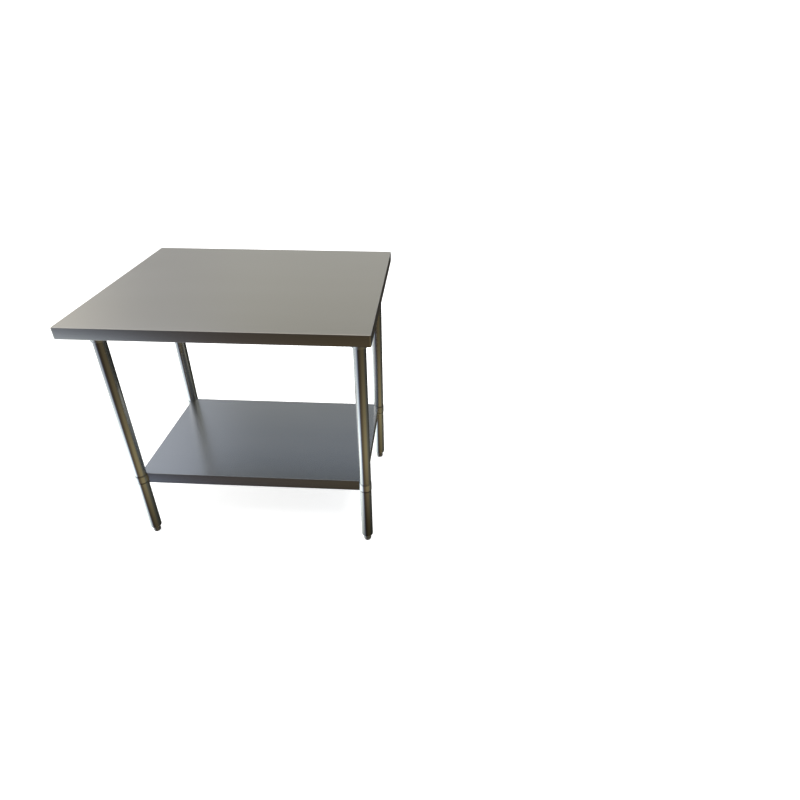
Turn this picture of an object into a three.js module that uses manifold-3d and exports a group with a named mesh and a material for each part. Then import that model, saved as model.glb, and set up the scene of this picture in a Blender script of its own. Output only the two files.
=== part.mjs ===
// A stainless work table: a folded sheet top on four round legs, an adjustable undershelf and screw-in feet.
// Millimetres, +Z up, origin on the floor under the middle of the top. +X is its length, -Y is the front.
import * as THREE from "three";
import { mergeVertices } from "three/addons/utils/BufferGeometryUtils.js";
import Module from "manifold-3d";

const wasm = await Module();
wasm.setup();

// ---- Driving dimensions ----
const TABLE_HEIGHT = 901.7;
const GAP = 0.3; // between pieces that touch or are welded together
const ROUND = 32; // sides of a turned piece

const TOP = { length: 914.4, depth: 762, skirt: 38.1, sheet: 1.5, hem: 12.7, bend: 3, corner: 5 };
const SHELF = { topZ: 276, skirt: 43, sheet: 1.2, hem: 11, bend: 2.4, corner: 4 };
const LEG = { radius: 20.65, wall: 1.5, insetX: 50.8, insetY: 125, bottomZ: 28, topZ: 871 };
const TOP_HAT = { crown: 76, height: 25.4, flange: 19, sheet: 1.2, length: 880 };
const SHELF_HAT = { crown: 50, height: 19, flange: 16, sheet: 1.2, length: 770 };
const STUD = { radius: 3.2, length: 12, sides: 8, alongX: 260, fromCrown: 9.5 };
const NUT = { acrossFlats: 11, height: 5.5 };
const GUSSET = { plate: 76, plateThick: 3, bottomZ: 804, topRadius: 33, bottomRadius: 24.5, screwZ: 818 };
const SCREW = { radius: 4, sides: 16, setLength: 8.5, socketFlats: 4, socketDepth: 4 };
const PLUG = { depth: 30, rim: 2 };
const FOOT = { radius: 13.5, baseRadius: 11.5, noseHeight: 5, flats: 24, flatsHeight: 9, boreDepth: 15 };
const FOOT_STUD = { radius: 6.35, length: 62 };
const COLLAR = { inner: 21, outer: 22, height: 36, lip: 6, ear: 62, earThick: 2.5 };
const BOSS = { radius: 8, end: 32 };
const SHELF_BOLT = { shankEnd: 35, headFlats: 13, headHeight: 5.5, screwZ: 254 };
const NOTCH_RADIUS = COLLAR.outer + GAP;

// ---- Sizes worked out from them ----
const TOP_UNDERSIDE = TABLE_HEIGHT - TOP.sheet;
const LEG_X = TOP.length / 2 - LEG.insetX;
const LEG_Y = TOP.depth / 2 - LEG.insetY;
const CORNERS = [
  { name: "front_left", x: -LEG_X, y: -LEG_Y },
  { name: "front_right", x: LEG_X, y: -LEG_Y },
  { name: "rear_left", x: -LEG_X, y: LEG_Y },
  { name: "rear_right", x: LEG_X, y: LEG_Y },
];
const CHANNELS = [
  { name: "front", y: -LEG_Y },
  { name: "centre", y: 0 },
  { name: "rear", y: LEG_Y },
];
// Each channel hangs on four studs, two through each flange.
const STUD_Y = TOP_HAT.crown / 2 + TOP_HAT.sheet + STUD.fromCrown;
const STUD_PLACES = [
  [-STUD.alongX, -STUD_Y],
  [STUD.alongX, -STUD_Y],
  [-STUD.alongX, STUD_Y],
  [STUD.alongX, STUD_Y],
];

// ---- Materials ----
const metal = (color, roughness, metalness = 1) =>
  new THREE.MeshStandardMaterial({ color, roughness, metalness });
const MATERIALS = {
  topSheet: metal(0x9a978f, 0.36),
  shelfSheet: metal(0x7d848c, 0.38),
  tube: metal(0xa8adb0, 0.2),
  galvanised: metal(0x8f9396, 0.45),
  pressed: metal(0x8a8c8d, 0.5),
  plated: metal(0xb0b2b4, 0.3),
  foot: metal(0x5f5c58, 0.35),
};

// ---- Solids ----
function solid(geometry) {
  const bare = geometry.clone();
  bare.deleteAttribute("normal");
  bare.deleteAttribute("uv");
  const merged = mergeVertices(bare, 1e-4);
  return new wasm.Manifold(
    new wasm.Mesh({
      numProp: 3,
      vertProperties: merged.attributes.position.array,
      triVerts: new Uint32Array(merged.index.array),
    }),
  );
}

function geometryOf(manifold) {
  const mesh = manifold.getMesh();
  return new THREE.BufferGeometry()
    .setAttribute("position", new THREE.BufferAttribute(mesh.vertProperties, 3))
    .setIndex(new THREE.BufferAttribute(mesh.triVerts, 1));
}

function roundedRectangle(width, depth, radius) {
  const x = width / 2;
  const y = depth / 2;
  const shape = new THREE.Shape();
  shape.moveTo(-x + radius, -y);
  shape.lineTo(x - radius, -y);
  shape.absarc(x - radius, -y + radius, radius, -Math.PI / 2, 0);
  shape.lineTo(x, y - radius);
  shape.absarc(x - radius, y - radius, radius, 0, Math.PI / 2);
  shape.lineTo(-x + radius, y);
  shape.absarc(-x + radius, y - radius, radius, Math.PI / 2, Math.PI);
  shape.lineTo(-x, -y + radius);
  shape.absarc(-x + radius, -y + radius, radius, Math.PI, Math.PI * 1.5);
  return shape;
}

// A plate of a shape, from one height to another, with its two rims rounded by a radius.
function slab(shape, fromZ, toZ, rim = 0, curveSegments = 4) {
  const geometry = new THREE.ExtrudeGeometry(shape, {
    depth: toZ - fromZ - 2 * rim,
    curveSegments,
    bevelEnabled: rim > 0,
    bevelThickness: rim,
    bevelSize: rim,
    bevelSegments: 3,
  });
  return solid(geometry.translate(0, 0, fromZ + rim));
}

// A solid of revolution about the z axis from a closed outline of [radius, z] points.
function turned(outline, sides = ROUND) {
  const points = [...outline, outline[0]].map(([r, z]) => new THREE.Vector2(r, z));
  const made = solid(new THREE.LatheGeometry(points, sides).rotateX(Math.PI / 2));
  return made.volume() < 0 ? turned([...outline].reverse(), sides) : made;
}

function rod(radius, fromZ, toZ, sides = ROUND) {
  return turned([[0, fromZ], [radius, fromZ], [radius, toZ], [0, toZ]], sides);
}

function hexPrism(acrossFlats, fromZ, toZ) {
  return rod(acrossFlats / Math.sqrt(3), fromZ, toZ, 6);
}

// Lays a solid made up the z axis along x, then turns it about z by an angle and lifts it to a height.
function radial(made, angle, height) {
  return made.rotate([0, 90, 0]).rotate([0, 0, (angle * 180) / Math.PI]).translate([0, 0, height]);
}

// A pan of folded sheet: a flat face, a turned-down skirt and a narrow return at its foot.
function pan(length, depth, topZ, spec) {
  const { skirt, sheet, hem, bend, corner } = spec;
  const face = roundedRectangle(length - 2 * bend, depth - 2 * bend, corner - bend);
  const outside = slab(face, topZ - skirt, topZ, bend);
  const inside = slab(face, topZ - skirt + sheet, topZ - sheet, bend - sheet);
  const inner = roundedRectangle(length - 2 * hem, depth - 2 * hem, corner);
  const mouth = slab(inner, topZ - skirt - 1, topZ - skirt / 2);
  return outside.subtract(inside).subtract(mouth);
}

// A hat-section channel along x whose flanges lie against a surface above it.
function hatChannel(underZ, spec) {
  const { crown, height, flange, sheet, length } = spec;
  const half = crown / 2;
  const edge = half + sheet + flange;
  const section = new THREE.Shape();
  section.moveTo(-edge, 0);
  section.lineTo(-half, 0);
  section.lineTo(-half, -height + sheet);
  section.lineTo(half, -height + sheet);
  section.lineTo(half, 0);
  section.lineTo(edge, 0);
  section.lineTo(edge, -sheet);
  section.lineTo(half + sheet, -sheet);
  section.lineTo(half + sheet, -height);
  section.lineTo(-half - sheet, -height);
  section.lineTo(-half - sheet, -sheet);
  section.lineTo(-edge, -sheet);
  const geometry = new THREE.ExtrudeGeometry(section, { depth: length, bevelEnabled: false });
  geometry.translate(0, 0, -length / 2).rotateX(Math.PI / 2).rotateZ(Math.PI / 2);
  return solid(geometry.translate(0, 0, underZ));
}

// ---- Top: the folded sheet with its weld studs, the stiffening channels and their nuts ----
function topPanel() {
  let made = pan(TOP.length, TOP.depth, TABLE_HEIGHT, TOP);
  for (const channel of CHANNELS)
    for (const [x, y] of STUD_PLACES) {
      const weldedTo = TOP_UNDERSIDE + TOP.sheet / 2;
      const stud = rod(STUD.radius, TOP_UNDERSIDE - STUD.length, weldedTo, STUD.sides);
      made = made.add(stud.translate([x, channel.y + y, 0]));
    }
  return made;
}

function topChannel() {
  let made = hatChannel(TOP_UNDERSIDE - GAP, TOP_HAT);
  const hole = rod(STUD.radius + 2 * GAP, TOP_UNDERSIDE - 10, TOP_UNDERSIDE, STUD.sides);
  for (const [x, y] of STUD_PLACES) made = made.subtract(hole.translate([x, y, 0]));
  return made;
}

function channelNut() {
  const faceZ = TOP_UNDERSIDE - TOP_HAT.sheet - 2 * GAP;
  const bore = rod(STUD.radius + GAP, faceZ - NUT.height - 1, faceZ + 1, STUD.sides);
  return hexPrism(NUT.acrossFlats, faceZ - NUT.height, faceZ).subtract(bore);
}

// ---- Leg sockets ----
const GUSSET_TOP = TOP_UNDERSIDE - TOP_HAT.height - 2 * GAP;
const SOCKET_RADIUS = LEG.radius + GAP;

function legGusset(inward) {
  const plateZ = GUSSET_TOP - GUSSET.plateThick;
  const cone = turned([
    [0, GUSSET.bottomZ],
    [GUSSET.bottomRadius - 1, GUSSET.bottomZ],
    [GUSSET.bottomRadius, GUSSET.bottomZ + 1],
    [GUSSET.bottomRadius, GUSSET.bottomZ + 6],
    [GUSSET.topRadius, plateZ - 8],
    [GUSSET.topRadius + 3, plateZ + 0.5],
    [0, plateZ + 0.5],
  ]);
  const plate = slab(roundedRectangle(GUSSET.plate, GUSSET.plate, 8), plateZ, GUSSET_TOP);
  const socket = rod(SOCKET_RADIUS, GUSSET.bottomZ - 1, GUSSET_TOP + 1);
  const drill = rod(SCREW.radius + GAP, 10, GUSSET.topRadius + 10, SCREW.sides);
  const tapping = radial(drill, inward, GUSSET.screwZ);
  return cone.add(plate).subtract(socket).subtract(tapping);
}

function gussetScrew(inward) {
  const tip = SOCKET_RADIUS;
  const end = tip + SCREW.setLength;
  const { radius, sides } = SCREW;
  const body = turned([[0, tip], [radius - 1, tip], [radius, tip + 1], [radius, end], [0, end]], sides);
  const key = hexPrism(SCREW.socketFlats, end - SCREW.socketDepth, end + 1);
  return radial(body.subtract(key), inward, GUSSET.screwZ);
}

// ---- Legs and feet ----
function legTube() {
  const inner = LEG.radius - LEG.wall;
  return turned([[inner, LEG.bottomZ], [LEG.radius, LEG.bottomZ], [LEG.radius, LEG.topZ], [inner, LEG.topZ]]);
}

function legPlug() {
  const body = LEG.radius - LEG.wall - GAP;
  const bore = FOOT_STUD.radius + GAP;
  const rimTop = LEG.bottomZ - GAP;
  const rimBottom = rimTop - PLUG.rim;
  return turned([
    [bore, rimBottom],
    [LEG.radius - 1.5, rimBottom],
    [LEG.radius - 0.4, rimTop - 1],
    [LEG.radius - 0.4, rimTop],
    [body, rimTop],
    [body, rimTop + PLUG.depth],
    [bore, rimTop + PLUG.depth],
  ]);
}

const FOOT_TOP = LEG.bottomZ - 2 * GAP - PLUG.rim;

function foot() {
  const { radius, baseRadius, noseHeight, flats, flatsHeight, boreDepth } = FOOT;
  const bore = FOOT_STUD.radius + GAP;
  const body = turned([
    [0, 0],
    [baseRadius, 0],
    [radius - 0.6, noseHeight / 3],
    [radius, noseHeight],
    [radius, FOOT_TOP - 1],
    [radius - 1, FOOT_TOP],
    [bore, FOOT_TOP],
    [bore, FOOT_TOP - boreDepth],
    [0, FOOT_TOP - boreDepth],
  ]);
  const wrench = slab(roundedRectangle(4 * radius, flats, 1), FOOT_TOP - flatsHeight, FOOT_TOP + 1);
  const above = slab(roundedRectangle(4 * radius, 4 * radius, 1), FOOT_TOP - flatsHeight, FOOT_TOP + 1);
  return body.subtract(above.subtract(wrench));
}

function footStud() {
  const bottom = FOOT_TOP - FOOT.boreDepth + GAP;
  const top = bottom + FOOT_STUD.length;
  const r = FOOT_STUD.radius;
  return turned([[0, bottom], [r, bottom], [r, top - 1.2], [r - 1.2, top], [0, top]]);
}

// ---- Undershelf, its stiffener and its sliding corner collars ----
function undershelf() {
  let made = pan(2 * LEG_X, 2 * LEG_Y, SHELF.topZ, SHELF);
  const notch = rod(NOTCH_RADIUS, SHELF.topZ - SHELF.skirt - 1, SHELF.topZ + 1);
  for (const { x, y } of CORNERS)
    made = made.subtract(notch.translate([x, y, 0]));
  return made;
}

function shelfCollar(diagonal) {
  const { inner, outer, height, lip, ear, earThick } = COLLAR;
  const topZ = SHELF.topZ - SHELF.sheet - GAP;
  const skirtFace = SHELF.bend + GAP;
  const bottomZ = topZ - height;
  const edge = inner + GAP / 2;
  const ring = turned([
    [0, bottomZ],
    [edge, bottomZ],
    [outer, bottomZ + lip],
    [outer, topZ - lip],
    [edge, topZ],
    [0, topZ],
  ]);
  const earShape = new THREE.Shape();
  earShape.moveTo(skirtFace, skirtFace);
  earShape.lineTo(ear, skirtFace);
  earShape.absarc(ear, skirtFace + 8, 8, -Math.PI / 2, 0);
  earShape.lineTo(skirtFace + 8, ear + 8);
  earShape.lineTo(skirtFace, ear);
  const earPlate = slab(earShape, topZ - earThick, topZ).rotate([0, 0, (diagonal * 180) / Math.PI - 45]);
  const boss = radial(rod(BOSS.radius, inner, BOSS.end, 24), diagonal, SHELF_BOLT.screwZ);
  const bore = rod(inner, bottomZ - 1, topZ + 1);
  const drill = rod(SCREW.radius + GAP, inner - 5, BOSS.end + 5, SCREW.sides);
  const tapping = radial(drill, diagonal, SHELF_BOLT.screwZ);
  return ring.add(earPlate).add(boss).subtract(bore).subtract(tapping);
}

function shelfBolt(diagonal) {
  const { shankEnd, headFlats, headHeight } = SHELF_BOLT;
  const shank = rod(SCREW.radius, COLLAR.inner, shankEnd + 1, SCREW.sides);
  return radial(shank.add(hexPrism(headFlats, shankEnd, shankEnd + headHeight)), diagonal, SHELF_BOLT.screwZ);
}

// ---- Assembly ----
const table = new THREE.Group();

function place(name, made, material, x = 0, y = 0) {
  const mesh = new THREE.Mesh(geometryOf(made), material);
  mesh.name = name;
  mesh.position.set(x, y, 0);
  table.add(mesh);
}

place("top_panel", topPanel(), MATERIALS.topSheet);
for (const channel of CHANNELS) {
  place(`top_channel_${channel.name}`, topChannel(), MATERIALS.galvanised, 0, channel.y);
  STUD_PLACES.forEach(([x, y], i) =>
    place(`channel_nut_${channel.name}_${i + 1}`, channelNut(), MATERIALS.plated, x, channel.y + y),
  );
}
for (const { name, x, y } of CORNERS) {
  const inward = x < 0 ? 0 : Math.PI;
  const diagonal = Math.atan2(-Math.sign(y), -Math.sign(x));
  place(`leg_gusset_${name}`, legGusset(inward), MATERIALS.pressed, x, y);
  place(`gusset_screw_${name}`, gussetScrew(inward), MATERIALS.plated, x, y);
  place(`leg_${name}`, legTube(), MATERIALS.tube, x, y);
  place(`leg_plug_${name}`, legPlug(), MATERIALS.plated, x, y);
  place(`foot_stud_${name}`, footStud(), MATERIALS.plated, x, y);
  place(`foot_${name}`, foot(), MATERIALS.foot, x, y);
  place(`shelf_collar_${name}`, shelfCollar(diagonal), MATERIALS.tube, x, y);
  place(`shelf_bolt_${name}`, shelfBolt(diagonal), MATERIALS.plated, x, y);
}
place("undershelf", undershelf(), MATERIALS.shelfSheet);
place("shelf_channel", hatChannel(SHELF.topZ - SHELF.sheet - GAP, SHELF_HAT), MATERIALS.galvanised);

export default table;
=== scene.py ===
# %% [markdown]
# # A stainless work table
# A kitchen work table is folded sheet steel on four round legs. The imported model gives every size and
# place. This script builds the finish around it: the bends in the sheet, the welds, the threads and the
# steel itself.

import math

import bmesh
import bpy
from mathutils import Matrix, Vector


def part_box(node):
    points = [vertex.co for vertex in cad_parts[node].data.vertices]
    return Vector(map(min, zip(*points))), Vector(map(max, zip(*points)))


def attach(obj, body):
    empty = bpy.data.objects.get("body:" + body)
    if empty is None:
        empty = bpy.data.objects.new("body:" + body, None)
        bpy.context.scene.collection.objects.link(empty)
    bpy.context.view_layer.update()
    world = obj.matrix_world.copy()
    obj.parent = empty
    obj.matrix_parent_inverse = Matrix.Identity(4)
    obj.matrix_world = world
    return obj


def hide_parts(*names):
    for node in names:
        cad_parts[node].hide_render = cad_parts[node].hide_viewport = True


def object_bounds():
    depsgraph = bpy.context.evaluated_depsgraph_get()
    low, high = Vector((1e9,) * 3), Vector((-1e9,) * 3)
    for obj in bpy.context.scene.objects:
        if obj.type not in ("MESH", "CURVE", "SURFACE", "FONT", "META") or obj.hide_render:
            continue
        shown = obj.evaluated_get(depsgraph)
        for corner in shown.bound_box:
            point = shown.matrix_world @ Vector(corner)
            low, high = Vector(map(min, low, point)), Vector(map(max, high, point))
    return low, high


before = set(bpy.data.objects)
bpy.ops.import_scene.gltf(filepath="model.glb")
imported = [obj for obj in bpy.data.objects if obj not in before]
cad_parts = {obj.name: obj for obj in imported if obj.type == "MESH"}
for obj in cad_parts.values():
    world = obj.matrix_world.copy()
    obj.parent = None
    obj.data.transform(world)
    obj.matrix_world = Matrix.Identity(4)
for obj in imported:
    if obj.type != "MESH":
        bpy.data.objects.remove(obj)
cad_low, cad_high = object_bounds()
MM = 0.001
CORNERS = ("front_left", "front_right", "rear_left", "rear_right")

# %% [markdown]
# ## Measures shared by many pieces
# The middle of each leg tube is the place that most other pieces are set out from, so it is read once,
# from the leg's own box. Everything else is worked out from boxes in the same way.

# %% Leg places and sheet sizes
leg_places = {}
for corner in CORNERS:
    low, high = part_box(f"leg_{corner}")
    leg_places[corner] = Vector(((low.x + high.x) / 2, (low.y + high.y) / 2, 0))
LEG_RADIUS = (high.x - low.x) / 2
LEG_BOTTOM, LEG_TOP = low.z, high.z
LEG_REACH = leg_places["rear_right"]
GAP = 0.3 * MM
spacing = [round(2 * reach / MM, 1) for reach in LEG_REACH.xy]
print(f"legs: {2 * LEG_RADIUS / MM:.1f} mm across, centres {spacing} mm apart")


# %% [markdown]
# ## Three ways to make a piece
# Every finished piece is one mesh with its place baked into its vertices. `hand_over` gives it a
# material, tells the frame which body carries it, and hides the plain solids it stands for. Smooth
# shading with sharp edges marked by angle keeps bends soft and cut edges crisp.

# %% Handing a piece over
SHARP_ANGLE = math.radians(38)


def shade(mesh):
    mesh.polygons.foreach_set("use_smooth", [True] * len(mesh.polygons))
    mesh.set_sharp_from_angle(angle=SHARP_ANGLE)
    return mesh


def hand_over(name, mesh, material, body, replaced=()):
    mesh.materials.clear()
    mesh.materials.append(material)
    piece = bpy.data.objects.new(name, shade(mesh))
    bpy.context.scene.collection.objects.link(piece)
    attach(piece, body)
    if replaced:
        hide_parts(*replaced)
    return piece


def mesh_from(bm, name="part"):
    loose = [edge for edge in bm.edges if not edge.link_faces]
    bmesh.ops.delete(bm, geom=loose, context="EDGES")
    bmesh.ops.recalc_face_normals(bm, faces=bm.faces)
    mesh = bpy.data.meshes.new(name)
    bm.to_mesh(mesh)
    bm.free()
    return mesh


# %% [markdown]
# A turned piece is an outline spun round an axis. Each outline point is a radius, a height and, where the
# corner is eased, the radius of the easing, so a chamfer or a round is one number.

# %% Rounded outlines and turned pieces
def rounded(points, steps=5, closed=True):
    """Rounds each corner that carries a radius. A point is (across, up) or (across, up, radius)."""
    made = []
    count = len(points)
    for i, point in enumerate(points):
        here = Vector(point[:2])
        radius = point[2] if len(point) > 2 else 0
        if radius <= 0 or (not closed and i in (0, count - 1)):
            made.append(here)
            continue
        to_last = (Vector(points[i - 1][:2]) - here).normalized()
        to_next = (Vector(points[(i + 1) % count][:2]) - here).normalized()
        half = to_last.angle(to_next) / 2
        centre = here + (to_last + to_next).normalized() * (radius / math.sin(half))
        start = here + to_last * (radius / math.tan(half)) - centre
        finish = here + to_next * (radius / math.tan(half)) - centre
        sweep = start.angle_signed(finish)
        for step in range(steps + 1):
            turn = -sweep * step / steps
            c, s = math.cos(turn), math.sin(turn)
            made.append(centre + Vector((start.x * c - start.y * s, start.x * s + start.y * c)))
    return made


def turned(outline, sides=96, steps=4):
    """Spins a closed outline of (radius, height, easing) points round the z axis."""
    section = rounded(outline, steps)
    bm = bmesh.new()
    rings = []
    for point in section:
        ring = []
        for k in range(sides):
            a = 2 * math.pi * k / sides
            ring.append(bm.verts.new((point.x * math.cos(a), point.x * math.sin(a), point.y)))
        rings.append(ring)
    for i, ring in enumerate(rings):
        other = rings[(i + 1) % len(rings)]
        for k in range(sides):
            n = (k + 1) % sides
            bm.faces.new((ring[k], ring[n], other[n], other[k]))
    bmesh.ops.remove_doubles(bm, verts=bm.verts, dist=1e-6)
    return mesh_from(bm)


def extruded(outline, from_z, to_z, steps=6):
    """A flat plate of a closed outline of (x, y, easing) points."""
    bm = bmesh.new()
    base = [bm.verts.new((p.x, p.y, from_z)) for p in rounded(outline, steps)]
    face = bm.faces.new(base)
    grown = bmesh.ops.extrude_face_region(bm, geom=[face])
    top = [v for v in grown["geom"] if isinstance(v, bmesh.types.BMVert)]
    bmesh.ops.translate(bm, verts=top, vec=(0, 0, to_z - from_z))
    return mesh_from(bm)


# %% [markdown]
# Cuts and joins are made with a Boolean modifier on a scratch object. The result is taken as a plain
# mesh, so that no live modifier is left on the finished piece.

# %% Cutting, joining and placing
def evaluated_mesh(scratch):
    """The mesh that an object's modifiers make. The scratch object is then thrown away."""
    depsgraph = bpy.context.evaluated_depsgraph_get()
    made = bpy.data.meshes.new_from_object(scratch.evaluated_get(depsgraph), depsgraph=depsgraph)
    bpy.data.objects.remove(scratch)
    return made


def combine(mesh, other, operation):
    """The union or difference of two closed meshes."""
    a = bpy.data.objects.new("scratch_a", mesh)
    b = bpy.data.objects.new("scratch_b", other)
    for scratch in (a, b):
        bpy.context.scene.collection.objects.link(scratch)
    cut = a.modifiers.new("cut", "BOOLEAN")
    cut.operation = operation
    cut.solver = "EXACT"
    cut.object = b
    made = evaluated_mesh(a)
    bpy.data.objects.remove(b)
    return made


def placed(mesh, offset=(0, 0, 0), turn=None):
    """A copy of a mesh, turned by a matrix and then moved."""
    copy = mesh.copy()
    copy.transform(Matrix.Translation(offset) @ (turn or Matrix.Identity(4)))
    return copy


# %% [markdown]
# ## Steel finishes
# Brushed steel is a mirror covered in fine scratches that all run one way. A noise stretched along the
# grain changes the colour, the roughness and the height a little, and a slow cloudy noise stands for
# years of wiping. On folded sheet the grain follows the flat pattern, so those materials read the sheet's
# own unfolded map.

# %% Node helpers
def new_material(name):
    material = bpy.data.materials.new(name)
    material.use_nodes = True
    tree = material.node_tree
    return material, tree, tree.nodes["Principled BSDF"]


def add_node(tree, kind, **values):
    node = tree.nodes.new(kind)
    for key, value in values.items():
        if hasattr(node, key):
            setattr(node, key, value)
        else:
            node.inputs[key.replace("_", " ").title()].default_value = value
    return node


def stretched_noise(tree, coordinates, scale, detail=2.0, roughness=0.5):
    mapping = add_node(tree, "ShaderNodeMapping")
    mapping.inputs["Scale"].default_value = scale
    noise = add_node(tree, "ShaderNodeTexNoise", detail=detail, roughness=roughness, scale=1.0)
    tree.links.new(coordinates, mapping.inputs["Vector"])
    tree.links.new(mapping.outputs["Vector"], noise.inputs["Vector"])
    return noise.outputs["Fac"]


def remapped(tree, value, low, high, from_low=0.3, from_high=0.7):
    ranged = add_node(tree, "ShaderNodeMapRange")
    ranged.inputs["From Min"].default_value = from_low
    ranged.inputs["From Max"].default_value = from_high
    ranged.inputs["To Min"].default_value = low
    ranged.inputs["To Max"].default_value = high
    tree.links.new(value, ranged.inputs["Value"])
    return ranged.outputs["Result"]


def maths(tree, operation, first, second):
    node = add_node(tree, "ShaderNodeMath", operation=operation)
    for socket, value in zip(node.inputs, (first, second)):
        if isinstance(value, (int, float)):
            socket.default_value = value
        else:
            tree.links.new(value, socket)
    return node.outputs["Value"]


def tinted(tree, factor, dark, light):
    mix = add_node(tree, "ShaderNodeMix", data_type="RGBA")
    tree.links.new(factor, mix.inputs[0])
    mix.inputs[6].default_value = (*dark, 1)
    mix.inputs[7].default_value = (*light, 1)
    return mix.outputs[2]


def bumped(tree, shader, height, distance=1.0):
    bump = add_node(tree, "ShaderNodeBump")
    bump.inputs["Distance"].default_value = distance
    tree.links.new(height, bump.inputs["Height"])
    tree.links.new(bump.outputs["Normal"], shader.inputs["Normal"])


# %% Brushed steel, in sheet and in tube
SCRATCH_DEPTH = 0.001 * MM
SCRATCH_DETAIL = dict(detail=4.0, roughness=0.65)
SCRATCH_SHARE = 0.25
DENT_DEPTH = 0.4 * MM
DENTS_TO_A_METRE = (3.5, 3.5, 1)
ACROSS_THE_GRAIN = 0.25


def brushed_steel(name, dark, light, smoothest, roughest, grain, clouds, on_sheet=False, anisotropy=0.0):
    """grain is how many scratches there are to a metre along X, Y and Z, or along the sheet's U and V.
    clouds is the same for the patches that wiping leaves."""
    material, tree, shader = new_material(name)
    if on_sheet:
        coordinates = add_node(tree, "ShaderNodeUVMap", uv_map="flat_pattern").outputs["UV"]
    else:
        coordinates = add_node(tree, "ShaderNodeTexCoord").outputs["Object"]
    scratches = stretched_noise(tree, coordinates, grain, **SCRATCH_DETAIL)
    cloudy = stretched_noise(tree, coordinates, clouds, detail=0.0)
    fine = maths(tree, "MULTIPLY", scratches, SCRATCH_SHARE)
    slow = maths(tree, "MULTIPLY", cloudy, 1 - SCRATCH_SHARE)
    blend = maths(tree, "ADD", fine, slow)
    tree.links.new(tinted(tree, blend, dark, light), shader.inputs["Base Color"])
    tree.links.new(remapped(tree, blend, smoothest, roughest, 0, 1), shader.inputs["Roughness"])
    shader.inputs["Metallic"].default_value = 1.0
    if anisotropy:
        shader.inputs["Anisotropic"].default_value = anisotropy
        shader.inputs["Anisotropic Rotation"].default_value = ACROSS_THE_GRAIN
        tangent = add_node(tree, "ShaderNodeTangent", direction_type="UV_MAP", uv_map="flat_pattern")
        tree.links.new(tangent.outputs["Tangent"], shader.inputs["Tangent"])
    relief = maths(tree, "MULTIPLY", scratches, SCRATCH_DEPTH)
    if on_sheet:
        dents = stretched_noise(tree, coordinates, DENTS_TO_A_METRE, detail=1.0)
        relief = maths(tree, "ADD", relief, maths(tree, "MULTIPLY", dents, DENT_DEPTH))
    bumped(tree, shader, relief)
    return material


worktop_steel = brushed_steel(
    "satin worktop steel",
    dark=(0.565, 0.545, 0.50),
    light=(0.615, 0.595, 0.55),
    smoothest=0.27,
    roughest=0.32,
    grain=(9, 900, 1),
    clouds=(1.6, 9, 1),
    on_sheet=True,
    anisotropy=0.65,
)
# The undershelf steel is the worktop steel made darker and bluer: painted shade from the worktop above it
# and a painted cool reflection.
shaded_shelf_steel = brushed_steel(
    "satin undershelf steel with painted shade",
    dark=(0.505, 0.52, 0.54),
    light=(0.53, 0.545, 0.565),
    smoothest=0.25,
    roughest=0.275,
    grain=(9, 900, 1),
    clouds=(2, 9, 1),
    on_sheet=True,
    anisotropy=0.65,
)
tube_steel = brushed_steel(
    "polished leg steel",
    dark=(0.56, 0.565, 0.56),
    light=(0.66, 0.665, 0.66),
    smoothest=0.10,
    roughest=0.19,
    grain=(900, 900, 14),
    clouds=(12, 12, 5),
)
pressed_steel = brushed_steel(
    "pressed gusset steel",
    dark=(0.44, 0.44, 0.445),
    light=(0.56, 0.56, 0.56),
    smoothest=0.26,
    roughest=0.42,
    grain=(70, 70, 900),
    clouds=(25, 25, 25),
)
# The foot steel is made much darker than the other steel: painted shade near the floor.
shaded_foot_steel = brushed_steel(
    "turned foot steel with painted shade",
    dark=(0.26, 0.25, 0.24),
    light=(0.38, 0.37, 0.355),
    smoothest=0.22,
    roughest=0.38,
    grain=(40, 40, 2600),
    clouds=(60, 60, 60),
)


# %% [markdown]
# Galvanised sheet shows its zinc crystals as a spangle: flat cells a few millimetres across, each a
# slightly different grey. A Voronoi texture gives each cell its own number, which sets its shade and its
# roughness. Zinc plating on small parts is smoother and a little blue, and the metal beside a weld is
# stained by heat.

# %% Galvanised, plated and weld metal
CRYSTALS_TO_A_METRE = 110.0
CRYSTAL_SHARE = 0.6


def galvanised_steel():
    material, tree, shader = new_material("galvanised channel steel")
    coordinates = add_node(tree, "ShaderNodeTexCoord").outputs["Object"]
    cells = add_node(tree, "ShaderNodeTexVoronoi", scale=CRYSTALS_TO_A_METRE, randomness=1.0)
    tree.links.new(coordinates, cells.inputs["Vector"])
    grey = add_node(tree, "ShaderNodeSeparateColor")
    tree.links.new(cells.outputs["Color"], grey.inputs["Color"])
    crystal = grey.outputs[0]
    streak = stretched_noise(tree, coordinates, (6, 60, 60), detail=3.0)
    spangle = maths(tree, "MULTIPLY", crystal, CRYSTAL_SHARE)
    rolled = maths(tree, "MULTIPLY", streak, 1 - CRYSTAL_SHARE)
    tone = remapped(tree, maths(tree, "ADD", spangle, rolled), 0, 1, 0.15, 0.85)
    colour = tinted(tree, tone, (0.33, 0.345, 0.36), (0.52, 0.535, 0.55))
    tree.links.new(colour, shader.inputs["Base Color"])
    tree.links.new(remapped(tree, crystal, 0.34, 0.55, 0, 1), shader.inputs["Roughness"])
    shader.inputs["Metallic"].default_value = 0.9
    bumped(tree, shader, crystal, 0.03 * MM)
    return material


def plated_steel():
    material, tree, shader = new_material("zinc plated steel")
    coordinates = add_node(tree, "ShaderNodeTexCoord").outputs["Object"]
    mottle = stretched_noise(tree, coordinates, (420, 420, 420), detail=3.0)
    colour = tinted(tree, remapped(tree, mottle, 0, 1), (0.5, 0.52, 0.55), (0.66, 0.67, 0.68))
    tree.links.new(colour, shader.inputs["Base Color"])
    tree.links.new(remapped(tree, mottle, 0.2, 0.36), shader.inputs["Roughness"])
    shader.inputs["Metallic"].default_value = 1.0
    bumped(tree, shader, mottle, 0.02 * MM)
    return material


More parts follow.
